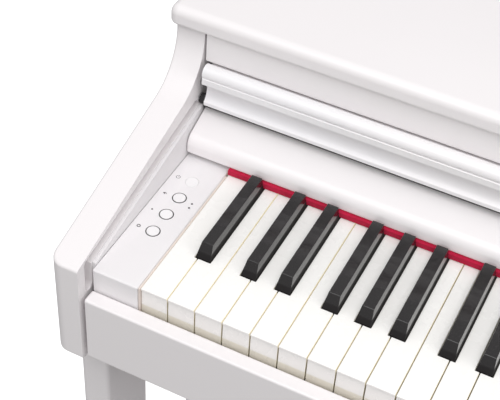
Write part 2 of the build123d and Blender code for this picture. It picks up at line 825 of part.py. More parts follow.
def headphone_box():
    z0 = bed_bottom - headphone_height
    y0 = headphone_front_y
    halves = []
    for side in (-1, 1):
        x0, x1 = sorted((headphone_x, headphone_x + side * headphone_half_width))
        half = block(x0, x1, y0, y0 + headphone_depth, z0, bed_bottom)
        corners = [e for e in half.edges().filter_by(Axis.Z) if abs(e.center().X - headphone_x) > 1]
        half = fillet(corners, 3.0)
        x = headphone_x + side * headphone_spacing
        halves.append(half - rod_y(x, y0, y0 + jack_depth, z0 + 13, jack_radius))
    return halves


# Nodes

octave_naturals = {"a0": 0, "b0": 1, "c1": 2, "d1": 3, "e1": 4, "f1": 5, "g1": 6}
octave_sharps = {"a_sharp0": 0, "c_sharp1": 2, "d_sharp1": 3, "f_sharp1": 5, "g_sharp1": 6}
group_naturals = range(len(octave_naturals), natural_count)
group_sharps = [i for i in range(len(octave_naturals), natural_count) if sharp_centre(i) is not None]


def build_nodes():
    bass_panel = side_panel()
    bass_stand = stand_board()
    bass_leg = front_leg()
    bass_foot = foot()
    strip = guide_strip()
    nodes = {
        "bass_side_panel": bass_panel,
        "treble_side_panel": mirrored(bass_panel),
        "bass_stand_board": bass_stand,
        "treble_stand_board": mirrored(bass_stand),
        "bass_front_leg": bass_leg,
        "treble_front_leg": mirrored(bass_leg),
        "bass_foot": bass_foot,
        "treble_foot": mirrored(bass_foot),
        "rubber_pads": rubber_pads(),
        "top_board": top_board(),
        "upper_front_board": upper_front_board(),
        "back_panel": back_panel(),
        "lower_back_board": lower_back_board(),
        "key_bed": key_bed(),
        "key_slip": key_slip(),
        "bass_control_block": end_block(holes=True),
        "treble_end_block": mirrored(end_block(holes=False)),
        "nameboard": nameboard(),
        "red_felt_strip": felt_strip(),
        "track_guide_strips": [strip, mirrored(strip)],
        "control_board": control_board(),
        "key_chassis": key_chassis(),
        "key_stop_felt": key_stop_felt(),
        "sensor_board": sensor_board(),
        "hammer_row": [hammer(i) for i in range(88)],
        "fallboard_lip": fallboard_lip(),
        "fallboard_panel": fallboard_panel(),
        "music_rest": music_rest(),
        "music_rest_prop": music_rest_prop(),
        "music_rest_ears": music_rest_ears(),
        "pedal_board": pedal_board(),
        "soft_pedal": pedal(-pedal_spacing),
        "sostenuto_pedal": pedal(0),
        "damper_pedal": pedal(pedal_spacing),
        "pedal_pivot_rod": pedal_rod(),
        "pedal_adjuster": pedal_adjuster(),
        "speakers": [speaker(-speaker_x), speaker(speaker_x)],
        "speaker_grilles": [speaker_grille(-speaker_x), speaker_grille(speaker_x)],
        "main_board": main_board(),
        "connector_panel": connector_panel(),
        "headphone_box": headphone_box(),
        "assembly_bolts": assembly_bolts(),
        "naturals_a1_to_c8": [natural_key(i) for i in group_naturals],
        "sharps_a_sharp1_to_a_sharp7": [sharp_key(i) for i in group_sharps],
    }
    for name, place in button_places.items():
        nodes[name] = button(*place)
    for name, index in octave_naturals.items():
        nodes["key_" + name] = natural_key(index)
    for name, index in octave_sharps.items():
        nodes["key_" + name] = sharp_key(index)
    return nodes


def write_nodes(nodes):
    os.makedirs("parts", exist_ok=True)
    for name, shape in nodes.items():
        pieces = shape if isinstance(shape, list) else [shape]
        placed = [solid for piece in pieces for solid in (datum * piece).solids()]
        export_step(Compound(children=placed) if len(placed) > 1 else placed[0], "parts/" + name + ".step")


all_nodes = build_nodes()
write_nodes(all_nodes)
print(len(all_nodes), "nodes")
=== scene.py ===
import json
import math

import bmesh
import bpy
from mathutils import Matrix, Vector


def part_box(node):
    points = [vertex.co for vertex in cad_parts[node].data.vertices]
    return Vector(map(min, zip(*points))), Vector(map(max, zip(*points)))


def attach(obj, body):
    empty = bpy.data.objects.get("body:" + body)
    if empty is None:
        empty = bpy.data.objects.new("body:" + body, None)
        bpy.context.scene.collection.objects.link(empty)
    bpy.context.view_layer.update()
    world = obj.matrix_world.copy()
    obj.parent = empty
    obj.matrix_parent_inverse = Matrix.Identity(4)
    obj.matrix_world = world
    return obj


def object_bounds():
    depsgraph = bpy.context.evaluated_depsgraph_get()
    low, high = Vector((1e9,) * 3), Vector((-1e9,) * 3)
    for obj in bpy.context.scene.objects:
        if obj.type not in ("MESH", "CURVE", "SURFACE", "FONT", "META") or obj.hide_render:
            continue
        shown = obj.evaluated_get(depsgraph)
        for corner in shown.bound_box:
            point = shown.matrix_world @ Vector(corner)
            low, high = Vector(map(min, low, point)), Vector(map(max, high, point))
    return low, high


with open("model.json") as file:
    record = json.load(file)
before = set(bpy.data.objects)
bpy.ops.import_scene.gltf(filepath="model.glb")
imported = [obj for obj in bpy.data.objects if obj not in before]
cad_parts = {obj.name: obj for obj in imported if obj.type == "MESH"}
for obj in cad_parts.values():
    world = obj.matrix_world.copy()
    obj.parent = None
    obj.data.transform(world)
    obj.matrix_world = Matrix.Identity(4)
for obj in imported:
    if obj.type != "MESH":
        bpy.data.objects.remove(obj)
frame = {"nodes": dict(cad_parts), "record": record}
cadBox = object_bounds()
nodes = frame["nodes"]
record = frame["record"]
scene = bpy.context.scene
print("frame loaded,", len(nodes), "nodes")

mm = 0.001
# the lowest key's front left corner, with half a key gap to its left
firstKeyLow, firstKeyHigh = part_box("key_a0")
keyCorner = Vector((firstKeyLow.x - 0.5 * mm, firstKeyLow.y, firstKeyHigh.z))


def at(x, y, z):
    # millimetres right, back and up from the key corner
    return keyCorner + Vector((x, y, z)) * mm


def tint(hexText):
    channels = [int(hexText[i:i + 2], 16) / 255 for i in (0, 2, 4)]
    linear = [c / 12.92 if c <= 0.04045 else ((c + 0.055) / 1.055) ** 2.4 for c in channels]
    return (*linear, 1.0)


# node helpers

def newMaterial(name):
    material = bpy.data.materials.new(name)
    material.use_nodes = True
    tree = material.node_tree
    return material, tree, tree.nodes["Principled BSDF"]


def addNode(tree, kind, inputs=None, **settings):
    node = tree.nodes.new(kind)
    for key, value in settings.items():
        setattr(node, key, value)
    for key, value in (inputs or {}).items():
        if isinstance(value, bpy.types.NodeSocket):
            tree.links.new(value, node.inputs[key])
        else:
            node.inputs[key].default_value = value
    return node


def objectPoint(tree, stretch=(1, 1, 1)):
    # the piece's own coordinates, so a pattern moves with it
    source = addNode(tree, "ShaderNodeTexCoord")
    mapping = addNode(tree, "ShaderNodeMapping", {"Vector": source.outputs["Object"], "Scale": stretch})
    return mapping.outputs["Vector"]


def noise(tree, point, scale, detail=3.0, roughness=0.5):
    inputs = {"Vector": point, "Scale": scale, "Detail": detail, "Roughness": roughness}
    return addNode(tree, "ShaderNodeTexNoise", inputs).outputs["Fac"]


def spread(tree, value, low, high, newLow=0.0, newHigh=1.0):
    inputs = {"Value": value, "From Min": low, "From Max": high, "To Min": newLow, "To Max": newHigh}
    return addNode(tree, "ShaderNodeMapRange", inputs).outputs["Result"]


def mixColour(tree, factor, first, second):
    node = addNode(tree, "ShaderNodeMix", data_type="RGBA")
    for socket, value in zip((node.inputs[0], node.inputs[6], node.inputs[7]), (factor, first, second)):
        if isinstance(value, bpy.types.NodeSocket):
            tree.links.new(value, socket)
        else:
            socket.default_value = value
    return node.outputs[2]


def multiply(tree, first, second):
    node = addNode(tree, "ShaderNodeMath", operation="MULTIPLY")
    for socket, value in zip(node.inputs, (first, second)):
        if isinstance(value, bpy.types.NodeSocket):
            tree.links.new(value, socket)
        else:
            socket.default_value = value
    return node.outputs[0]


def bumpFrom(tree, shader, height, distance, strength=1.0):
    inputs = {"Height": height, "Distance": distance, "Strength": strength}
    before = shader.inputs["Normal"].links
    if before:
        inputs["Normal"] = before[0].from_socket
    bump = addNode(tree, "ShaderNodeBump", inputs)
    tree.links.new(bump.outputs["Normal"], shader.inputs["Normal"])


rubbedFrom, rubbedFull = 0.52, 0.62    # how sharp an outer edge is before it shows rubbing


def edgeMask(tree):
    # 1 along outer edges, where hands and cloths rub
    geometry = addNode(tree, "ShaderNodeNewGeometry")
    return spread(tree, geometry.outputs["Pointiness"], rubbedFrom, rubbedFull)


def baseFinish(name, look):
    # colour drift, roughness drift, surface grain and rubbed edges, all from one dictionary
    material, tree, shader = newMaterial(name)
    point = objectPoint(tree, look.get("stretch", (1, 1, 1)))
    drift = spread(tree, noise(tree, point, look["driftScale"], 4.0), 0.35, 0.65)
    colour = mixColour(tree, drift, tint(look["colour"]), tint(look["drift"]))
    worn = multiply(tree, edgeMask(tree), look.get("wear", 0.0))
    colour = mixColour(tree, worn, colour, tint(look.get("wornColour", look["colour"])))
    tree.links.new(colour, shader.inputs["Base Color"])
    low, high = look["roughness"]
    rough = spread(tree, noise(tree, point, look["roughScale"], 5.0), 0.3, 0.7, low, high)
    tree.links.new(rough, shader.inputs["Roughness"])
    grain = noise(tree, point, look["grainScale"], look.get("grainDetail", 3.0))
    bumpFrom(tree, shader, grain, look["grainHeight"] * mm, look.get("grainStrength", 0.6))
    shader.inputs["Metallic"].default_value = look.get("metallic", 0.0)
    shader.inputs["Specular IOR Level"].default_value = look.get("specular", 0.5)
    shader.inputs["Coat Weight"].default_value = look.get("coat", 0.0)
    shader.inputs["Coat Roughness"].default_value = look.get("coatRoughness", 0.2)
    shader.inputs["Sheen Weight"].default_value = look.get("sheen", 0.0)
    return material, tree, shader, colour


finishes = {}

cabinetLook = {
    "colour": "f1edee",
    "drift": "efebec",
    "driftScale": 3.0,
    "roughness": (0.3, 0.38),
    "roughScale": 14.0,
    "grainScale": 420.0,
    "grainHeight": 0.02,
    "grainStrength": 0.12,
    "wear": 0.25,
    "wornColour": "f6f3f3",
    "coat": 0.15,
    "coatRoughness": 0.3,
    "waveStretch": (0.25, 1, 1),
    "waveScale": 22.0,
    "waveHeight": 0.15,
    "waveStrength": 0.15,
}


def cabinetFinish(name, look):
    # satin lacquer: fine orange peel over a faint, long undulation of the board
    material, tree, shader, colour = baseFinish(name, look)
    wave = noise(tree, objectPoint(tree, look["waveStretch"]), look["waveScale"], 2.0)
    bumpFrom(tree, shader, wave, look["waveHeight"] * mm, look["waveStrength"])
    return material


finishes["satin_white_cabinet"] = cabinetFinish("cabinetLacquer", cabinetLook)

fallboardLook = dict(cabinetLook, colour="f1eeef", drift="ecebee", roughness=(0.28, 0.36), coat=0.3)
finishes["fallboard_lip_white"] = cabinetFinish("fallboardLacquer", fallboardLook)

panelLook = {
    "colour": "edeaeb",
    "drift": "ebe8ea",
    "driftScale": 6.0,
    "roughness": (0.42, 0.5),
    "roughScale": 40.0,
    "grainScale": 900.0,
    "grainHeight": 0.02,
    "grainStrength": 0.15,
    "wear": 0.2,
    "wornColour": "f4f2f2",
}


pitLook = {
    "share": 0.6,       # of the grain's scale
    "height": 0.02,
    "strength": 0.1,
}


def mouldedPlastic(name, look):
    # spark-eroded texture: two sizes of fine pits
    material, tree, shader, colour = baseFinish(name, look)
    inputs = {"Vector": objectPoint(tree), "Scale": look["grainScale"] * pitLook["share"]}
    cells = addNode(tree, "ShaderNodeTexVoronoi", inputs)
    bumpFrom(tree, shader, cells.outputs["Distance"], pitLook["height"] * mm, pitLook["strength"])
    return material


finishes["white_panel_plastic"] = mouldedPlastic("panelPlastic", panelLook)

buttonLook = dict(panelLook, colour="f3f1f2", drift="f0eeef", roughness=(0.3, 0.36), grainHeight=0.01)
finishes["button_plastic"] = mouldedPlastic("buttonPlastic", buttonLook)

darkPlasticLook = {
    "colour": "2b2a2c",
    "drift": "333234",
    "driftScale": 9.0,
    "roughness": (0.45, 0.6),
    "roughScale": 30.0,
    "grainScale": 1800.0,
    "grainHeight": 0.04,
    "wear": 0.5,
    "wornColour": "5a595b",
}
finishes["dark_plastic"] = mouldedPlastic("darkPlastic", darkPlasticLook)

whiteKeyLook = {
    "colour": "faf9f6",
    "drift": "f9f7f4",
    "driftScale": 12.0,
    "roughness": (0.24, 0.3),
    "roughScale": 60.0,
    "grainScale": 600.0,
    "grainHeight": 0.004,
    "grainStrength": 0.04,
    "wear": 0.3,
    "wornColour": "fdfcfa",
    "coat": 0.2,
    "coatRoughness": 0.15,
    "side": "f3ecd8",
    # painted glow on the key walls: its strength, and how far below the top it reaches
    "paintedWallGlow": 0.26,
    "paintedGlowDepth": 6.0,
    "front": "f8f5f3",
    "frontBand": "ebe5d8",
    "bandTop": 17.5,       # below the key's top
    "bandBlend": 1.5,
    "wallRange": (0.75, 0.9),
    "topRange": (0.35, 0.8),
}


def keyFinish(name, look):
    # ivory-like top and front, a creamier band low on the front, and creamier walls with a painted glow
    # near the top that stands in for light passing through the keys
    material, tree, shader, colour = baseFinish(name, look)
    source = addNode(tree, "ShaderNodeTexCoord")
    facing = addNode(tree, "ShaderNodeSeparateXYZ", {"Vector": source.outputs["Normal"]})
    place = addNode(tree, "ShaderNodeSeparateXYZ", {"Vector": source.outputs["Object"]})
    bandTop = keyCorner.z - look["bandTop"] * mm
    band = spread(tree, place.outputs["Z"], bandTop, bandTop - look["bandBlend"] * mm)
    front = mixColour(tree, band, tint(look["front"]), tint(look["frontBand"]))
    sideward = addNode(tree, "ShaderNodeMath", {0: facing.outputs["X"]}, operation="ABSOLUTE").outputs[0]
    wall = spread(tree, sideward, *look["wallRange"])
    upward = spread(tree, facing.outputs["Z"], *look["topRange"])
    shell = mixColour(tree, wall, front, tint(look["side"]))
    tree.links.new(mixColour(tree, upward, shell, colour), shader.inputs["Base Color"])
    # painted light: the walls glow in their creamy colour, strongest at the top, standing in for light
    # through the keys
    shader.inputs["Emission Color"].default_value = tint(look["side"])
    material.cycles.emission_sampling = "NONE"
    paintedGlowBase = keyCorner.z - look["paintedGlowDepth"] * mm
    rise = spread(tree, place.outputs["Z"], paintedGlowBase, keyCorner.z, 0.0, look["paintedWallGlow"])
    tree.links.new(multiply(tree, wall, rise), shader.inputs["Emission Strength"])
    return material


finishes["white_key_plastic"] = keyFinish("whiteKey", whiteKeyLook)

blackKeyLook = {
    "colour": "100d0e",
    "drift": "151213",
    "driftScale": 20.0,
    "roughness": (0.22, 0.27),
    "roughScale": 90.0,
    "grainScale": 500.0,
    "grainHeight": 0.02,
    "grainStrength": 0.1,
    "wear": 0.4,
    "wornColour": "4a4647",
    "specular": 0.25,
    "coat": 0.7,
    "coatRoughness": 0.06,
    "mattBelow": 5.5,      # above the white keys
    "mattBlend": 1.5,
    "mattRoughness": 0.7,
    "streakStretch": (1, 0.06, 1),
    "streakScale": 700.0,
    "streakHeight": 0.02,
    "streakStrength": 0.12,
}


def blackKeyFinish(name, look):
    # ebony-like: fine grain that runs along the key, and lower walls left matt from the mould
    material, tree, shader, colour = baseFinish(name, look)
    streaks = noise(tree, objectPoint(tree, look["streakStretch"]), look["streakScale"], 3.0)
    bumpFrom(tree, shader, streaks, look["streakHeight"] * mm, look["streakStrength"])
    source = addNode(tree, "ShaderNodeTexCoord")
    place = addNode(tree, "ShaderNodeSeparateXYZ", {"Vector": source.outputs["Object"]})
    mattTop = keyCorner.z + look["mattBelow"] * mm
    polished = spread(tree, place.outputs["Z"], mattTop - look["mattBlend"] * mm, mattTop)
    polish = shader.inputs["Roughness"].links[0].from_socket
    rough = addNode(tree, "ShaderNodeMix", {0: polished, 2: look["mattRoughness"], 3: polish})
    tree.links.new(rough.outputs[0], shader.inputs["Roughness"])
    tree.links.new(multiply(tree, polished, look["coat"]), shader.inputs["Coat Weight"])
    return material


finishes["black_key_plastic"] = blackKeyFinish("blackKey", blackKeyLook)


def feltFinish(name, look):
    # matted wool: coarse tufts, fine fibres and a soft sheen
    material, tree, shader, colour = baseFinish(name, look)
    fibres = noise(tree, objectPoint(tree, look["fibreStretch"]), look["fibreScale"], 8.0, 0.75)
    bumpFrom(tree, shader, fibres, look["fibreHeight"] * mm, look["fibreStrength"])
    shader.inputs["Sheen Roughness"].default_value = look["sheenRoughness"]
    return material


redFeltLook = {
    "colour": "bf1d42",
    "drift": "ad193a",
    "driftScale": 90.0,
    "roughness": (0.85, 0.98),
    "roughScale": 300.0,
    "grainScale": 700.0,
    "grainHeight": 0.3,
    "grainDetail": 6.0,
    "grainStrength": 0.9,
    "sheen": 0.15,
    "sheenRoughness": 0.45,
    "specular": 0.15,
    "fibreStretch": (0.35, 1, 1),
    "fibreScale": 1750.0,
    "fibreHeight": 0.25,
    "fibreStrength": 0.8,
}
finishes["red_felt"] = feltFinish("redFelt", redFeltLook)

greyFeltLook = dict(redFeltLook, colour="9c9894", drift="8b8783", sheen=0.2)
finishes["grey_felt"] = feltFinish("greyFelt", greyFeltLook)

rubberLook = {
    "colour": "242325",
    "drift": "2e2d2e",
    "driftScale": 30.0,
    "roughness": (0.7, 0.85),
    "roughScale": 80.0,
    "grainScale": 1400.0,
    "grainHeight": 0.06,
    "wear": 0.3,
    "wornColour": "4a494a",
    "specular": 0.3,
}
finishes["rubber"] = mouldedPlastic("rubberPad", rubberLook)

hardboardLook = {
    "colour": "e3dfdd",
    "drift": "dcd8d5",
    "driftScale": 8.0,
    "roughness": (0.55, 0.68),
    "roughScale": 25.0,
    "grainScale": 600.0,
    "grainHeight": 0.08,
    "grainDetail": 6.0,
    "fibreStretch": (1, 1, 0.3),
    "fibreScale": 260.0,
    "fibreHeight": 0.12,
    "fibreStrength": 0.5,
}


def hardboardFinish(name, look):
    # painted hardboard: pressed fibres show through the thin paint
    material, tree, shader, colour = baseFinish(name, look)
    fibres = noise(tree, objectPoint(tree, look["fibreStretch"]), look["fibreScale"], 9.0, 0.7)
    bumpFrom(tree, shader, fibres, look["fibreHeight"] * mm, look["fibreStrength"])
    return material


finishes["white_hardboard"] = hardboardFinish("hardboardBack", hardboardLook)


def brushedFinish(name, look):
    # fine lines along X, as a belt leaves them
    material, tree, shader, colour = baseFinish(name, look)
    lines = noise(tree, objectPoint(tree, look["lineStretch"]), look["lineScale"], 3.0)
    bumpFrom(tree, shader, lines, look["lineHeight"] * mm, look["lineStrength"])
    shader.inputs["Anisotropic"].default_value = look["anisotropic"]
    return material


brassLook = {
    "colour": "c79a4c",
    "drift": "b98a3d",
    "driftScale": 25.0,
    "roughness": (0.16, 0.3),
    "roughScale": 120.0,
    "grainScale": 900.0,
    "grainHeight": 0.01,
    "wear": 0.6,
    "wornColour": "e2bf78",
    "metallic": 1.0,
    "lineStretch": (0.02, 1, 1),
    "lineScale": 2200.0,
    "lineHeight": 0.01,
    "lineStrength": 0.4,
    "anisotropic": 0.2,
}
finishes["pedal_brass"] = brushedFinish("pedalBrass", brassLook)

brushedLook = dict(brassLook, colour="b9babd", drift="a9aaad", wornColour="d8d9db")
brushedLook.update(roughness=(0.25, 0.38), anisotropic=0.5)
finishes["brushed_metal"] = brushedFinish("brushedMetal", brushedLook)
weightLook = dict(brushedLook, colour="77787b", drift="6a6b6e", roughness=(0.35, 0.5))
finishes["weight_steel"] = brushedFinish("weightSteel", weightLook)
boltLook = dict(brushedLook, colour="9b9c9f", drift="8b8c8f", roughness=(0.22, 0.34))
finishes["bolt_steel"] = brushedFinish("boltSteel", boltLook)

boardLook = {
    "colour": "1f5a38",
    "drift": "1a4d30",
    "driftScale": 60.0,
    "roughness": (0.3, 0.45),
    "roughScale": 120.0,
    "grainScale": 900.0,
    "grainHeight": 0.03,
    "wear": 0.0,
    "track": "2f7a4d",
    "trackScale": 260.0,
    "trackEdge": (0.05, 0.08),
    "trackHeight": 0.04,
    "trackStrength": 0.8,
}


def circuitFinish(name, look):
    # lacquered board with raised copper tracks under the green mask
    material, tree, shader, colour = baseFinish(name, look)
    inputs = {"Vector": objectPoint(tree), "Scale": look["trackScale"]}
    settings = {"distance": "MANHATTAN", "feature": "DISTANCE_TO_EDGE"}
    tracks = addNode(tree, "ShaderNodeTexVoronoi", inputs, **settings)
    line = spread(tree, tracks.outputs["Distance"], *look["trackEdge"], 1.0, 0.0)
    tree.links.new(mixColour(tree, line, colour, tint(look["track"])), shader.inputs["Base Color"])
    bumpFrom(tree, shader, line, look["trackHeight"] * mm, look["trackStrength"])
    return material


finishes["circuit_board"] = circuitFinish("circuitBoard", boardLook)

grilleLook = dict(darkPlasticLook, colour="3a3a3c", drift="444446", metallic=0.6, roughness=(0.4, 0.5))
grilleLook.update(hole="070708", holeScale=260.0, holeEdge=(0.3, 0.36), holeDepth=0.3, holeStrength=0.8)


def grilleFinish(name, look):
    # punched sheet: a close pattern of round holes
    material, tree, shader, colour = baseFinish(name, look)
    inputs = {"Vector": objectPoint(tree), "Scale": look["holeScale"], "Randomness": 0.0}
    holes = addNode(tree, "ShaderNodeTexVoronoi", inputs)
    solid = spread(tree, holes.outputs["Distance"], *look["holeEdge"])
    tree.links.new(mixColour(tree, solid, tint(look["hole"]), colour), shader.inputs["Base Color"])
    bumpFrom(tree, shader, solid, look["holeDepth"] * mm, look["holeStrength"])
    return material


finishes["grille_metal"] = grilleFinish("speakerGrille", grilleLook)
print("finishes made,", len(finishes))

# each carried-over node: its finish and how far its edges are rounded, in millimetres
edgeRadius = {
    "satin_white_cabinet": 1.2,
    "white_panel_plastic": 0.5,
    "button_plastic": 0.5,
    "white_key_plastic": 0.6,
    "black_key_plastic": 1.9,
    "dark_plastic": 0.6,
    "pedal_brass": 1.0,
    "brushed_metal": 0.3,
    "rubber": 0.8,
    "red_felt": 0.25,
    "grey_felt": 0.5,
}
nodeRadius = {
    "track_guide_strips": 0.4,
    "upper_front_board": 0.6,
    "nameboard": 1.5,
    "key_slip": 1.6,
    "power_button": 0.3,
}
otherRadius = 0.3

edgeLook = {
    "weld": 0.00001,       # metres
    "flatWithin": 0.5,     # degrees
    "roundFrom": 32,       # degrees
    "segments": 3,
    "weight": 80,
}


def smoothFaces():
    group = bpy.data.node_groups.new("smoothFaces", "GeometryNodeTree")
    group.interface.new_socket("Geometry", in_out="INPUT", socket_type="NodeSocketGeometry")
    group.interface.new_socket("Geometry", in_out="OUTPUT", socket_type="NodeSocketGeometry")
    start = group.nodes.new("NodeGroupInput")
    end = group.nodes.new("NodeGroupOutput")
    smooth = group.nodes.new("GeometryNodeSetShadeSmooth")
    group.links.new(start.outputs[0], smooth.inputs["Geometry"])
    group.links.new(smooth.outputs["Geometry"], end.inputs[0])
    return group


smoothGroup = smoothFaces()


def roundEdges(piece, radius, look):
    weld = piece.modifiers.new("weld", "WELD")
    weld.merge_threshold = look["weld"]
    flatten = piece.modifiers.new("flatten", "DECIMATE")
    flatten.decimate_type = "DISSOLVE"
    flatten.angle_limit = math.radians(look["flatWithin"])
    smooth = piece.modifiers.new("smooth", "NODES")
    smooth.node_group = smoothGroup
    bevel = piece.modifiers.new("round", "BEVEL")
    bevel.width = radius * mm
    bevel.segments = look["segments"]
    bevel.limit_method = "ANGLE"
    bevel.angle_limit = math.radians(look["roundFrom"])
    bevel.miter_outer = "MITER_ARC"
    bevel.harden_normals = True
    weighted = piece.modifiers.new("weighted", "WEIGHTED_NORMAL")
    weighted.weight = look["weight"]
    weighted.keep_sharp = True


# these come from CAD with all their curves, so they keep their own edges
keptEdges = ("fallboard_lip", "speakers", "speaker_grilles", "assembly_bolts")

for name, piece in nodes.items():
    slotName = piece.material_slots[0].material.name.split(".")[0]
    for held in piece.material_slots:
        held.material = finishes[slotName]
    if name not in keptEdges:
        roundEdges(piece, nodeRadius.get(name, edgeRadius.get(slotName, otherRadius)), edgeLook)
print("nodes finished")


# mesh helpers for the pieces made here

def meshPiece(name, bm, material, body):
    mesh = bpy.data.meshes.new(name)
    bmesh.ops.recalc_face_normals(bm, faces=bm.faces)
    bm.to_mesh(mesh)
    bm.free()
    mesh.materials.append(material)
    piece = bpy.data.objects.new(name, mesh)
    scene.collection.objects.link(piece)
    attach(piece, body)
    return piece


def turned(bm, profile, centre, axis=(0, 0, 1), steps=48):
    # profile of (radius, height) in millimetres, turned about the axis through centre
    turn = Vector(axis).to_track_quat("Z", "Y").to_matrix()
    rings = []
    for radius, height in profile:
        ring = []
        for i in range(steps):
            angle = 2 * math.pi * i / steps
            local = Vector((radius * math.cos(angle), radius * math.sin(angle), height)) * mm
            ring.append(bm.verts.new(Vector(centre) + turn @ local))
        rings.append(ring)
    for low, high in zip(rings, rings[1:]):
        for i in range(steps):
            bm.faces.new((low[i], low[(i + 1) % steps], high[(i + 1) % steps], high[i]))
    return rings


def turnedRing(bm, profile, centre, axis=(0, 0, 1), steps=48):
    # a closed profile, so the first ring joins the last
    rings = turned(bm, profile + profile[:1], centre, axis, steps)
    bmesh.ops.remove_doubles(bm, verts=rings[0] + rings[-1], dist=1e-7)


def stamped(bm, outline, centre, height):
    # a flat shape with its edge, printed on a level surface; outline in millimetres
    low = [bm.verts.new(Vector(centre) + Vector((x, y, 0)) * mm) for x, y in outline]
    high = [bm.verts.new(Vector(centre) + Vector((x, y, height)) * mm) for x, y in outline]
    bm.faces.new(high)
    bm.faces.new(list(reversed(low)))
    for i in range(len(outline)):
        j = (i + 1) % len(outline)
        bm.faces.new((low[i], low[j], high[j], high[i]))


def roundedHull(bm, corners, radius, segments=2):
    # corners in metres, radius in millimetres
    hull = bmesh.ops.convex_hull(bm, input=[bm.verts.new(corner) for corner in corners])
    edges = [e for e in hull["geom"] if isinstance(e, bmesh.types.BMEdge) and e.is_valid]
    edges = [e for e in edges if e.calc_face_angle(0) > 1]
    bmesh.ops.bevel(bm, geom=edges, offset=radius * mm, segments=segments, affect="EDGES")


def roundedBox(bm, low, high, radius):
    xs, ys, zs = zip(low, high)
    roundedHull(bm, [Vector((x, y, z)) for x in xs for y in ys for z in zs], radius)


panelTop = (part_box("bass_control_block")[1].z - keyCorner.z) / mm

# dark ink for the printed marks, also used for the rings of painted shade in the button gaps
inkAndGapShadeLook = {
    "colour": "2f2c2e",
    "drift": "3a3739",
    "driftScale": 400.0,
    "roughness": (0.5, 0.6),
    "roughScale": 200.0,
    "grainScale": 1800.0,
    "grainHeight": 0.01,
}
inkAndGapShade = baseFinish("printedInkAndGapShade", inkAndGapShadeLook)[0]

gapShadeRingsLook = {
    "buttons": ("lower_round_button", "middle_round_button", "upper_round_button"),
    "inner": 5.42,
    "outer": 6.2,
    "height": 0.12,
    "lip": 0.12,
}


def buttonGapShadeRings(look):
    # dark rings in each button's gap: painted shade for the shadow in the gap
    bm = bmesh.new()
    for name in look["buttons"]:
        low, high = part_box(name)
        centre = Vector(((low.x + high.x) / 2, (low.y + high.y) / 2, keyCorner.z + panelTop * mm))
        inner, outer, height = look["inner"], look["outer"], look["height"]
        profile = [(inner, -0.3), (outer, -0.05), (outer, height * 0.6)]
        profile += [(outer - look["lip"], height), (inner, height)]
        turnedRing(bm, profile, centre)
    return meshPiece("button_gap_shade_rings", bm, inkAndGapShade, "cabinet")


buttonGapShadeRings(gapShadeRingsLook)

# places are back from the key fronts; arcs give radius, line width, start and end in degrees, and steps
marksLook = {
    "column": -35.0,
    "powerPlace": 124.0,
    "powerArc": (1.7, 0.38, 120, 420, 28),
    "powerBar": (-0.19, 0.4, 0.19, 2.3),
    "hornPlace": 101.4,
    "horn": ((-1.7, -0.6), (-0.9, -0.6), (0.1, -1.4), (0.1, 1.4), (-0.9, 0.6), (-1.7, 0.6)),
    "hornArc": (1.2, 0.35, -50, 50, 12),
    "dotPlace": 79.7,
    "dotRadius": 0.8,
    "ringPlace": 57.9,
    "ringArc": (1.3, 0.7, 0, 359.5, 36),
    "height": 0.05,
}


def arcOutline(radius, width, start, end, steps):
    outer = []
    inner = []
    for i in range(steps + 1):
        angle = math.radians(start + (end - start) * i / steps)
        outer.append(((radius + width / 2) * math.cos(angle), (radius + width / 2) * math.sin(angle)))
        inner.append(((radius - width / 2) * math.cos(angle), (radius - width / 2) * math.sin(angle)))
    return outer + list(reversed(inner))


def discOutline(radius, steps=24):
    angles = [2 * math.pi * i / steps for i in range(steps)]
    return [(radius * math.cos(angle), radius * math.sin(angle)) for angle in angles]


def barOutline(x0, y0, x1, y1):
    return [(x0, y0), (x1, y0), (x1, y1), (x0, y1)]


def panelMarks(look):
    bm = bmesh.new()
    height = look["height"]
    column = look["column"]
    # power: a broken ring with a bar in the gap
    power = at(column, look["powerPlace"], panelTop)
    stamped(bm, arcOutline(*look["powerArc"]), power, height)
    stamped(bm, barOutline(*look["powerBar"]), power, height)
    # sound: a small horn with one wave
    sound = at(column, look["hornPlace"], panelTop)
    stamped(bm, look["horn"], sound, height)
    stamped(bm, arcOutline(*look["hornArc"]), sound, height)
    # a dot and a ring beside the two lower buttons
    stamped(bm, discOutline(look["dotRadius"]), at(column, look["dotPlace"], panelTop), height)
    stamped(bm, arcOutline(*look["ringArc"]), at(column, look["ringPlace"], panelTop), height)
    return meshPiece("panel_marks", bm, inkAndGapShade, "cabinet")


panelMarks(marksLook)

lampsLook = {
    "places": ((-9.4, 100.9), (-9.3, 95.6)),
    "radius": 0.95,
    "dome": 0.2,
}


def indicatorLamps(look):
    bm = bmesh.new()
    for x, y in look["places"]:
        radius = look["radius"]
        profile = [(radius * math.cos(a), look["dome"] * math.sin(a)) for a in (0, 0.4, 0.8, 1.2, 1.5)]
        rings = turned(bm, [(radius, -0.3)] + profile, at(x, y, panelTop), steps=24)
        bm.faces.new(rings[-1])
    lamp = finishes["dark_plastic"]
    return meshPiece("indicator_lamps", bm, lamp, "cabinet")


indicatorLamps(lampsLook)
print("control panel marked")

bufferAndShadeLook = {
    "radius": 4.6,
    "clear": 0.4,    # to the side panel
    "rise": 4.7,     # centre above the lip's lower edge
    "inset": 4.7,    # centre in front of the lip's back
    "bore": 1.5,
    "rounding": 0.5,
    "boardGap": 3.8,    # from the nameboard's end to the side panel
    "lipGap": 6.5,      # from the lip's end to the side panel
}


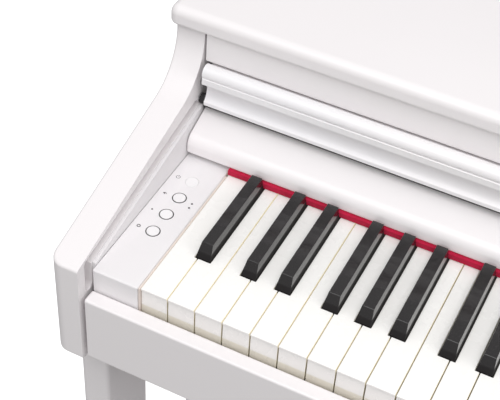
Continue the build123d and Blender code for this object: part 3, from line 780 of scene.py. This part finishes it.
def trackBuffersAndShade(look):
    # rubber sleeves round the stubs that carry the fallboard in its tracks; the dark rubber also stands
    # in as painted shade for the dark track opening at each end of the lip
    bm = bmesh.new()
    low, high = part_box("nameboard")
    innerX = high.x + look["boardGap"] * mm
    lipLow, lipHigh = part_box("fallboard_lip")
    lipEnd = innerX - look["lipGap"] * mm
    for side in (-1, 1):
        start = Vector((side * lipEnd, lipHigh.y - look["inset"] * mm, lipLow.z + look["rise"] * mm))
        length = (innerX - lipEnd) / mm - look["clear"]
        radius, bore, rounding = look["radius"], look["bore"], look["rounding"]
        profile = [(bore, 0.1), (radius - rounding, 0.1), (radius, 0.6)]
        profile += [(radius, length - 0.6), (radius - rounding, length), (bore, length)]
        turnedRing(bm, profile, start, (side, 0, 0), 32)
    return meshPiece("track_buffers_and_shade", bm, finishes["rubber"], "fallboard")


trackBuffersAndShade(bufferAndShadeLook)

edgeStripLook = {
    "gap": 0.25,
    "drop": 0.4,
    "setBack": 0.6,
    "shortOfBack": 20.0,
    "aboveBase": 45.0,
    "rounding": 0.3,
}
creamLook = dict(panelLook, colour="e6dad3", drift="e2d6ce", wornColour="efe2da")
creamPlastic = mouldedPlastic("creamPlastic", creamLook)


def endStrips(look):
    # the narrow moulding between each end block and the keys
    bm = bmesh.new()
    blockLow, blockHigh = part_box("bass_control_block")
    gap = look["gap"] * mm
    x0 = blockHigh.x + gap
    x1 = firstKeyLow.x - gap
    y0, y1 = blockLow.y + look["setBack"] * mm, blockHigh.y - look["shortOfBack"] * mm
    z0, z1 = blockLow.z + look["aboveBase"] * mm, blockHigh.z - look["drop"] * mm
    for side in (1, -1):
        roundedBox(bm, (side * x0, y0, z0), (side * x1, y1, z1), look["rounding"])
    return meshPiece("end_block_strips", bm, creamPlastic, "cabinet")


endStrips(edgeStripLook)


lipCushionAndShadowLook = {
    # back and up from the key corner: under the foot's slanted face
    "outline": ((174.0, 41.7), (180.5, 37.9), (180.5, 36.6), (174.3, 40.0)),
    "endInset": 1.5,
    "rounding": 0.2,
}


def lipCushionAndShadow(look):
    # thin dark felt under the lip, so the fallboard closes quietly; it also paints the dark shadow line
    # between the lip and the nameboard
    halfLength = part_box("nameboard")[1].x - look["endInset"] * mm
    section = [at(0, y, z) for y, z in look["outline"]]
    corners = [Vector((x, point.y, point.z)) for x in (-halfLength, halfLength) for point in section]
    bm = bmesh.new()
    roundedHull(bm, corners, look["rounding"])
    return meshPiece("lip_cushion_felt_and_shadow", bm, finishes["rubber"], "fallboard")


lipCushionAndShadow(lipCushionAndShadowLook)
print("fallboard sleeves, end strips and lip cushion made")

jackLook = {
    "nut": 2.9,        # past the hole
    "thickness": 0.85,
    "collar": 0.7,
}


def jackNuts(look):
    # a six-sided nut and a round collar at each jack and at the power inlet
    bm = bmesh.new()
    for mount in record["mounts"]:
        if mount["kind"] != "bore":
            continue
        axis = Vector(mount["axis"])
        hole = mount["dims"]["r_mm"]
        mouth = Vector(mount["pos_m"]) + axis * mount["dims"]["length_mm"] / 2 * mm
        thick = look["thickness"]
        outer = hole + look["nut"]
        inner = hole + look["collar"]
        nut = [(inner, -0.2), (outer, -0.2), (outer, thick * 0.5)]
        nut += [(outer - 0.35, thick * 0.7), (inner, thick * 0.7)]
        turnedRing(bm, nut, mouth, axis, 6)
        bore, rim = hole + 0.05, inner + 0.2
        collar = [(bore, -0.2), (rim, -0.2), (rim, thick * 0.8), (inner, thick), (bore, thick)]
        turnedRing(bm, collar, mouth, axis, 36)
    return meshPiece("jack_nuts", bm, finishes["bolt_steel"], "cabinet")


jackNuts(jackLook)

screwLook = {
    "radius": 3.6,
    "dome": 0.85,
    "socket": 1.5,
    "inset": 13.0,
    "columns": 6,
}


def panelScrews(look):
    # pan-head screws round the back panel
    low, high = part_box("back_panel")
    inset = look["inset"] * mm
    columns = look["columns"]
    xs = [low.x + inset + (high.x - low.x - 2 * inset) * i / (columns - 1) for i in range(columns)]
    places = [(x, z) for x in xs for z in (low.z + inset, high.z - inset)]
    places += [(x, (low.z + high.z) / 2) for x in (xs[0], xs[-1])]
    radius, dome, socket = look["radius"], look["dome"], look["socket"]
    profile = [(radius, -0.2), (radius, dome * 0.3)]
    profile += [(radius * 0.85, dome * 0.75), (radius * 0.6, dome * 0.96)]
    profile += [(socket + 0.2, dome), (socket, dome - 0.1), (socket * 0.85, dome * 0.15)]
    bm = bmesh.new()
    for x, z in places:
        rings = turned(bm, profile, (x, high.y, z), (0, 1, 0), 24)
        bm.faces.new(rings[-1])
    return meshPiece("back_panel_screws", bm, finishes["bolt_steel"], "cabinet")


panelScrews(screwLook)

bushingLook = {
    "slotWidth": 29.0,
    "thickness": 1.1,
    "depth": 26.0,
    "setBack": 1.5,
    "halfHeight": 13.0,
    "rounding": 0.3,
}


def pedalBushings(look):
    # felt on the side walls of each pedal's slot
    bm = bmesh.new()
    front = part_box("pedal_board")[0].y + look["setBack"] * mm
    for name in ("soft_pedal", "sostenuto_pedal", "damper_pedal"):
        pedalLow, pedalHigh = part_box(name)
        middle = (pedalLow.x + pedalHigh.x) / 2
        height = (pedalLow.z + pedalHigh.z) / 2
        for side in (-1, 1):
            wall = middle + side * look["slotWidth"] / 2 * mm
            x0, x1 = sorted((wall, wall - side * look["thickness"] * mm))
            low = (x0, front, height - look["halfHeight"] * mm)
            high = (x1, front + look["depth"] * mm, height + look["halfHeight"] * mm)
            roundedBox(bm, low, high, look["rounding"])
    return meshPiece("pedal_bushing_felt", bm, finishes["red_felt"], "cabinet")


pedalBushings(bushingLook)
print("jack nuts, screws and pedal felts made")

floorLook = {
    "colour": "ffffff",
    "glow": 0.55,
    "size": 60.0,
    "below": 0.5,    # millimetres under the pads
}


def studioFloor(look):
    # a wide flat sheet that glows a little, so it reads as white
    material, tree, shader = newMaterial("studioFloor")
    shader.inputs["Base Color"].default_value = tint(look["colour"])
    rough = spread(tree, noise(tree, objectPoint(tree), 4.0), 0.3, 0.7, 0.7, 0.9)
    tree.links.new(rough, shader.inputs["Roughness"])
    shader.inputs["Emission Color"].default_value = tint(look["colour"])
    shader.inputs["Emission Strength"].default_value = look["glow"]
    material.cycles.emission_sampling = "NONE"
    bm = bmesh.new()
    bmesh.ops.create_grid(bm, x_segments=8, y_segments=8, size=look["size"] / 2)
    mesh = bpy.data.meshes.new("studio_floor")
    bm.to_mesh(mesh)
    bm.free()
    mesh.materials.append(material)
    floor = bpy.data.objects.new("studio_floor", mesh)
    scene.collection.objects.link(floor)
    floor.location.z = cadBox[0].z - look["below"] * mm
    floor.visible_diffuse = False   # so it doesn't light the piano from below
    floor.visible_glossy = False
    return floor


studioFloor(floorLook)

# size in metres, power in watts
lightLook = {
    "overhead": {
        "place": (-0.1, -1.75, 3.5),
        "aim": (-0.2, 0, 0.7),
        "size": 3.2,
        "power": 70,
    },
    "fill": {
        "place": (2.8, -0.6, 2.4),
        "aim": (-0.4, 0, 0.8),
        "size": 2.0,
        "power": 17,
    },
}


def softLight(name, look):
    data = bpy.data.lights.new(name, "AREA")
    data.shape = "DISK"
    data.size = look["size"]
    data.energy = look["power"]
    lamp = bpy.data.objects.new(name, data)
    scene.collection.objects.link(lamp)
    lamp.location = look["place"]
    aim = Vector(look["aim"]) - Vector(look["place"])
    lamp.rotation_euler = aim.to_track_quat("-Z", "Y").to_euler()
    return lamp


for name, look in lightLook.items():
    softLight(name + "_light", look)

worldLook = {
    "colour": "ffffff",
    "above": 0.6,
    "below": 0.3,
    "backdrop": 1.0,
    "horizon": (-0.2, 0.3),
}


def studioWorld(look):
    # brighter above the horizon than below it, and plain white behind the piano
    world = bpy.data.worlds.new("studio")
    world.use_nodes = True
    tree = world.node_tree
    source = addNode(tree, "ShaderNodeTexCoord")
    height = addNode(tree, "ShaderNodeSeparateXYZ", {"Vector": source.outputs["Generated"]})
    light = spread(tree, height.outputs["Z"], *look["horizon"], look["below"], look["above"])
    path = addNode(tree, "ShaderNodeLightPath")
    inputs = {0: path.outputs["Is Camera Ray"], 2: light, 3: look["backdrop"]}
    mix = addNode(tree, "ShaderNodeMix", inputs)
    background = tree.nodes["Background"]
    background.inputs["Color"].default_value = tint(look["colour"])
    tree.links.new(mix.outputs[0], background.inputs["Strength"])
    return world


scene.world = studioWorld(worldLook)
scene.view_settings.view_transform = "Standard"
print("studio lit")

# angles in radians; the place is from the key corner, in millimetres
cameraLook = {
    "place": (332.08, -555.09, 722.32),
    "turn": 0.415712,
    "tilt": 0.767955,
    "roll": 0.0686042,
    "lens": 90.2,
    "sensor": 36,
    "nearest": 0.02,    # metres
}


def studioCamera(look):
    turn, tilt, roll = look["turn"], look["tilt"], look["roll"]
    back = Vector((math.sin(turn) * math.cos(tilt), -math.cos(turn) * math.cos(tilt), math.sin(tilt)))
    level = Vector((math.cos(turn), math.sin(turn), 0))
    above = back.cross(level)
    right = level * math.cos(roll) + above * math.sin(roll)
    up = above * math.cos(roll) - level * math.sin(roll)
    data = bpy.data.cameras.new("camera")
    data.lens = look["lens"]
    data.sensor_width = look["sensor"]
    data.clip_start = look["nearest"]
    data.dof.use_dof = False
    camera = bpy.data.objects.new("camera", data)
    scene.collection.objects.link(camera)
    camera.matrix_world = Matrix((right, up, back)).transposed().to_4x4()
    camera.location = at(*look["place"])
    scene.camera = camera
    return camera


studioCamera(cameraLook)
print("camera placed")
